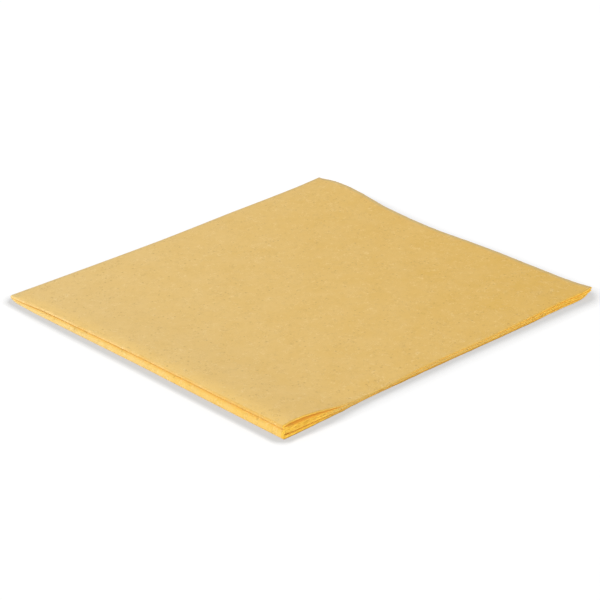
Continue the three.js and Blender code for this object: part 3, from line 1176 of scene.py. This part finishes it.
def nap_group():
    """The marks of a nonwoven cloth's nap: its relief, soft mottling, dark pits between the fibres
    and light tufts on them. Dark holds painted shade where the nap lies low and the fine fibres' own
    dark colour, and Light a painted highlight where it stands high."""
    tree = bpy.data.node_groups.new("nonwoven_nap", "ShaderNodeTree")
    add_sockets(tree, "INPUT", "Vector", "Place")
    add_sockets(tree, "INPUT", "Float", *NAP_SIZES)
    add_sockets(tree, "OUTPUT", "Float", "Height", "Mottle", "Dark", "Light")
    given = node(tree, "NodeGroupInput").outputs
    place = given["Place"]
    at = {name: moved(tree, place, start) for name, start in PATTERN_STARTS.items()}
    sizes = ("Grain Size", "Fibre Curl", "Mottle Size")
    grain_scale, curl_scale, mottle_scale = (reckon(tree, "DIVIDE", 1.0, given[n]) for n in sizes)
    fine_scale = times(tree, curl_scale, FINE_SCALE)
    mottle = noise(tree, at["mottle"], mottle_scale, detail=4, roughness=0.6)
    patchy = ramp(tree, noise(tree, at["patches"], mottle_scale), *PATCH_EDGE)
    marks = {
        "grain": noise(tree, place, grain_scale, detail=3, roughness=0.6),
        "lumps": noise(tree, at["lumps"], curl_scale, detail=3, roughness=0.6),
    }
    marks["dips"] = ramp(tree, marks["lumps"], *DIP_EDGE)
    for name, width in FIBRE_WIDTHS.items():
        scale = fine_scale if name == "fine fibres" else curl_scale
        marks[name] = curled_fibres(tree, at[name], scale, width)
    for name, size in LOOP_SIZES.items():
        marks[name] = loops(tree, at[name], given["Loop Spacing"], size, patchy)
    few = times(tree, patchy, PITTED_SHARE)
    marks["pits"] = spots(tree, at["pits"], given["Pit Spacing"], SPOT_SIZES["pits"], few)
    marks["tufts"] = spots(tree, at["tufts"], given["Tuft Spacing"], SPOT_SIZES["tufts"], patchy)
    done = node(tree, "NodeGroupOutput").inputs
    feed(tree, added_up(tree, marks, RAISING), done["Height"])
    feed(tree, mottle, done["Mottle"])
    feed(tree, added_up(tree, marks, DARKENING, clamp=True), done["Dark"])
    feed(tree, added_up(tree, marks, LIGHTENING, clamp=True), done["Light"])
    return tree


def napped(tree, group):
    """The nap's marks on the sheet's own places."""
    marks = node(tree, "ShaderNodeGroup", node_tree=group)
    feed(tree, sheet_place(tree), marks.inputs["Place"])
    for name, size in NAP_SIZES.items():
        marks.inputs[name].default_value = size
    return marks.outputs


def marked(tree, colour, marks, strengths):
    """A colour with the nap's dark and light marks on it: painted shade in its low places and a
    painted highlight on its high ones.
    """
    dark, light = strengths
    colour = blended(tree, times(tree, marks["Dark"], dark), colour, PIT_SHADE)
    return blended(tree, times(tree, marks["Light"], light), colour, TUFT_LIGHT)


def nap_roughness(tree, marks):
    return reckon(tree, "MULTIPLY_ADD", marks["Mottle"], ROUGHNESS_CHANGE, CLOTH_ROUGHNESS)


def cloth_shader(tree, colour, height, relief, roughness, glow=0.0):
    """Matte nap. glow is the strength of a painted glow, an emission in place of the light that
    comes through the thin cloth into the folds.
    """
    surface = node(tree, "ShaderNodeBsdfPrincipled", **CLOTH_SURFACE)
    if glow:
        lit = blended(tree, mask(tree, "glow_share"), (0, 0, 0), GLOW_COLOUR)
        feed(tree, lit, surface.inputs["Emission Color"])
        surface.inputs["Emission Strength"].default_value = glow
    feed(tree, colour, surface.inputs["Base Color"])
    feed(tree, roughness, surface.inputs["Roughness"])
    bump = node(tree, "ShaderNodeBump", Strength=RELIEF_STRENGTH, Distance=relief)
    feed(tree, height, bump.inputs["Height"])
    feed(tree, bump.outputs[0], surface.inputs["Normal"])
    feed(tree, surface.outputs[0], node(tree, "ShaderNodeOutputMaterial").inputs[0])


def face_material(group):
    """The outer face: a pale matte nap with a painted sheen that fades towards the loose side, so
    that it is a little warmer there and at the folds, with a painted highlight on the shoulder,
    painted shade on the nose and the far rims, and painted shade and bounced light in the crease.
    """
    made, tree = new_material("cloth_face")
    marks = napped(tree, group)
    place = axes(tree, object_place(tree))
    # A painted sheen, palest towards the left corner, fades towards the loose corner; the mottle is
    # the cloth's own tone
    run = times(tree, place["X"], SHEEN_FADE_ALONG)
    run = reckon(tree, "MULTIPLY_ADD", place["Y"], -SHEEN_FADE_ACROSS, run)
    tone_and_sheen = reckon(tree, "MULTIPLY_ADD", run, 0.5 / (HALF_LENGTH + HALF_WIDTH), 0.5)
    mottle = reckon(tree, "SUBTRACT", marks["Mottle"], 0.5)
    tone_and_sheen = reckon(tree, "MULTIPLY_ADD", mottle, MOTTLE_STRENGTH, tone_and_sheen, clamp=True)
    forward = reckon(tree, "MULTIPLY", tone_and_sheen, WARMTH_FORWARD, clamp=True)
    # The painted highlight on the shoulder
    highlight_share = times(tree, mask(tree, "shoulder_highlight"), SHOULDER_HIGHLIGHT_STRENGTH)
    cut = reckon(tree, "SUBTRACT", mask(tree, "cut_edge"), mask(tree, "pressed"), clamp=True)
    colour = blended(tree, reckon(tree, "POWER", tone_and_sheen, WARMTH_POWER), PALE_SHEEN_NAP, WARM_NAP)
    for share, over in (
        (highlight_share, SHOULDER_HIGHLIGHT),
        (mask(tree, "bend"), blended(tree, forward, PALE_BEND, WARM_BEND)),
        # The painted shade on the nose
        (mask(tree, "nose"), blended(tree, forward, PALE_NOSE_SHADE, WARM_NOSE_SHADE)),
        (mask(tree, "crease"), CREASE_SHADE_AND_BOUNCE),
        # The painted shade of the far rims
        (mask(tree, "far_rim_shade"), RIM_SHADE),
        (reckon(tree, "POWER", cut, CUT_POWER), CUT_FIBRE),
    ):
        colour = blended(tree, share, colour, over)
    colour = marked(tree, colour, marks, FACE_MARKS)
    cloth_shader(tree, colour, marks["Height"], NAP_RELIEF, nap_roughness(tree, marks))
    return made


def inside_material(group):
    """The face that looks into the first fold: deep orange, with the same fibres and a painted glow.
    """
    made, tree = new_material("cloth_inside")
    marks = napped(tree, group)
    colour = marked(tree, DEEP_FIBRE, marks, INSIDE_MARKS)
    roughness = nap_roughness(tree, marks)
    cloth_shader(tree, colour, marks["Height"], NAP_RELIEF, roughness, glow=GLOW_STRENGTH)
    return made


def cut_material(group):
    """The raw-cut edge: ends of fibres in thin layers, with painted shade between the layers, on the
    pressed front and next to the table, and a painted highlight on the ends.
    """
    made, tree = new_material("cloth_cut_edge")
    marks = napped(tree, group)
    place = sheet_place(tree)
    layers = node(tree, "ShaderNodeMapping", Scale=LAYER_SQUEEZE)
    feed(tree, place, layers.inputs["Vector"])
    stack = noise(tree, layers.outputs[0], 1 / LAYER_SIZE, detail=3, roughness=0.65)
    ends = noise(tree, place, 1 / END_SIZE)
    table_shade = ramp(tree, axes(tree, object_place(tree))["Z"], *LOW_REACH, 1.0, 0.0)
    outer = ramp(tree, axes(tree, place)["Z"], *OUTER_LAYER)
    colour = blended(tree, ramp(tree, stack, *LAYER_RAMP), DEEP_FIBRE, CUT_FIBRE)
    for share, over in (
        (ramp(tree, stack, *LAYER_PITS), PIT_SHADE),
        (mask(tree, "pressed"), PRESSED_NAP_SHADE),
        (table_shade, LOW_EDGE_SHADE),
        (times(tree, outer, mask(tree, "pale_rim")), WARM_NAP),
        (ramp(tree, ends, *END_LIGHTS), TUFT_LIGHT),
    ):
        colour = blended(tree, share, colour, over)
    height = reckon(tree, "ADD", stack, times(tree, ends, END_RELIEF))
    cloth_shader(tree, colour, height, NAP_RELIEF, nap_roughness(tree, marks))
    return made


def fibre_material():
    """Single stray fibres, a little paler at random."""
    made, tree = new_material("stray_fibre")
    shade = ramp(tree, noise(tree, object_place(tree), 1 / STRAY_MOTTLE, detail=1), *STRAY_RAMP)
    colour = blended(tree, shade, CUT_FIBRE, TUFT_LIGHT)
    cloth_shader(tree, colour, shade, STRAY_RELIEF, STRAY_ROUGHNESS)
    return made


# The floor and the light

def grey(tree, value):
    made = node(tree, "ShaderNodeCombineColor")
    for socket in made.inputs:
        feed(tree, value, socket)
    return made.outputs[0]


def seen_ray(tree):
    """1 for the rays that the camera, a gloss or a glass sees."""
    ray = node(tree, "ShaderNodeLightPath").outputs
    gloss = reckon(tree, "MAXIMUM", ray["Is Glossy Ray"], ray["Is Transmission Ray"])
    return reckon(tree, "MAXIMUM", ray["Is Camera Ray"], gloss)


def contact_shade(tree):
    """How bright the floor looks for the cloth that lies close over it, as a share."""
    place = axes(tree, object_place(tree))
    run = reckon(tree, "SUBTRACT", place["X"], place["Y"])
    run = reckon(tree, "DIVIDE", run, HALF_LENGTH + HALF_WIDTH)
    right, left = (times(tree, run, slope) for slope in CONTACT_SLOPES)
    run = reckon(tree, "MINIMUM", reckon(tree, "MAXIMUM", right, left), 1.0)
    near = node(tree, "ShaderNodeAmbientOcclusion", samples=CONTACT_SAMPLES)
    reach = reckon(tree, "MULTIPLY_ADD", run, CONTACT_GROWTH, CONTACT_REACH)
    feed(tree, reach, near.inputs["Distance"])
    return ramp(tree, near.outputs["AO"], *CONTACT_CURVE, kind="LINEAR")


def floor():
    """A plain white floor that keeps the cloth's shadow. The camera sees it mostly by its own
    glow, so that it is white where nothing shades it."""
    mesh = bpy.data.meshes.new("floor")
    signs = (-1, -1), (1, -1), (1, 1), (-1, 1)
    corners = [(x * FLOOR_REACH, y * FLOOR_REACH, -FLOOR_DROP) for x, y in signs]
    mesh.from_pydata(corners, [], [(0, 1, 2, 3)])
    paper, tree = new_material("white_floor")
    plain = node(tree, "ShaderNodeBsdfDiffuse", Color=(1, 1, 1, 1))
    shade = contact_shade(tree)
    lit = node(tree, "ShaderNodeBsdfDiffuse")
    feed(tree, grey(tree, times(tree, shade, FLOOR_LIT_SHARE)), lit.inputs["Color"])
    glow = node(tree, "ShaderNodeEmission", Color=(1, 1, 1, 1))
    feed(tree, times(tree, shade, FLOOR_GLOW_SHARE), glow.inputs["Strength"])
    shown = node(tree, "ShaderNodeAddShader")
    both = node(tree, "ShaderNodeMixShader")
    out = node(tree, "ShaderNodeOutputMaterial")
    for source, socket in (
        (lit.outputs[0], shown.inputs[0]),
        (glow.outputs[0], shown.inputs[1]),
        (seen_ray(tree), both.inputs[0]),
        (plain.outputs[0], both.inputs[1]),
        (shown.outputs[0], both.inputs[2]),
        (both.outputs[0], out.inputs[0]),
    ):
        feed(tree, source, socket)
    mesh.materials.append(paper)
    placed_object("floor", mesh)


def lights():
    """Soft studio light from all round, paler towards the floor's horizon, and a broad low one
    from the left. What the camera sees behind the floor is plain white."""
    world = bpy.data.worlds.new("studio")
    world.use_nodes = True
    tree = world.node_tree
    tree.nodes.clear()
    upward = axes(tree, node(tree, "ShaderNodeTexCoord").outputs["Generated"])["Z"]
    level = ramp(tree, upward, 0, 1, HORIZON_LIGHT, ZENITH_LIGHT, kind="LINEAR")
    shown = node(tree, "ShaderNodeMix", data_type="FLOAT", B=1.0)
    feed(tree, seen_ray(tree), shown.inputs["Factor"])
    feed(tree, level, shown.inputs["A"])
    soft = node(tree, "ShaderNodeBackground", Color=(1, 1, 1, 1))
    feed(tree, shown.outputs[0], soft.inputs["Strength"])
    feed(tree, soft.outputs[0], node(tree, "ShaderNodeOutputWorld").inputs[0])
    bpy.context.scene.world = world
    data = bpy.data.lights.new("left_softbox", "SUN")
    data.energy = LEFT_LIGHT * math.pi
    data.angle = LEFT_LIGHT_SPREAD
    lamp = placed_object("left_softbox", data)
    heading = math.pi + LEFT_LIGHT_TURN
    lamp.rotation_euler = (math.pi / 2 - LEFT_LIGHT_HEIGHT, 0, heading + math.pi / 2)


lower_grid = drawn_in(pair_grid(BOTTOM, LOWER_INNER))
upper_grid = drawn_in(pair_grid(TOP, UPPER_INNER))
sheets = make_sheets(lower_grid, upper_grid, drawn_in(bend_grid()))
nap_marks = nap_group()
finishes = face_material(nap_marks), inside_material(nap_marks), cut_material(nap_marks)
for piece in sheets.values():
    for finish in finishes:
        piece.data.materials.append(finish)

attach(sheets["lower_sheet"], "lower_half")
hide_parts("bottom_leaf", "lower_inner_leaf", "first_fold_lower")
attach(sheets["upper_sheet"], "upper_half")
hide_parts("top_leaf", "upper_inner_leaf", "first_fold_upper")
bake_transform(sheets["main_fold_bend"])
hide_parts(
    "main_fold_outer_lower",
    "main_fold_outer_upper",
    "main_fold_inner_lower",
    "main_fold_inner_upper",
)

fibre_group = fibre_tree()
stray = fibre_material()
fibres = {}
grids = {"lower_half": lower_grid, "upper_half": upper_grid}
for (body, grid), seed in zip(grids.items(), FIBRE_SEEDS):
    name = body.replace("half", "edge_fibres")
    fibres[body] = edge_fibres(name, grid, fibre_group, stray, seed)
    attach(fibres[body], body)

floor()
lights()
bpy.context.scene.view_settings.view_transform = "Standard"
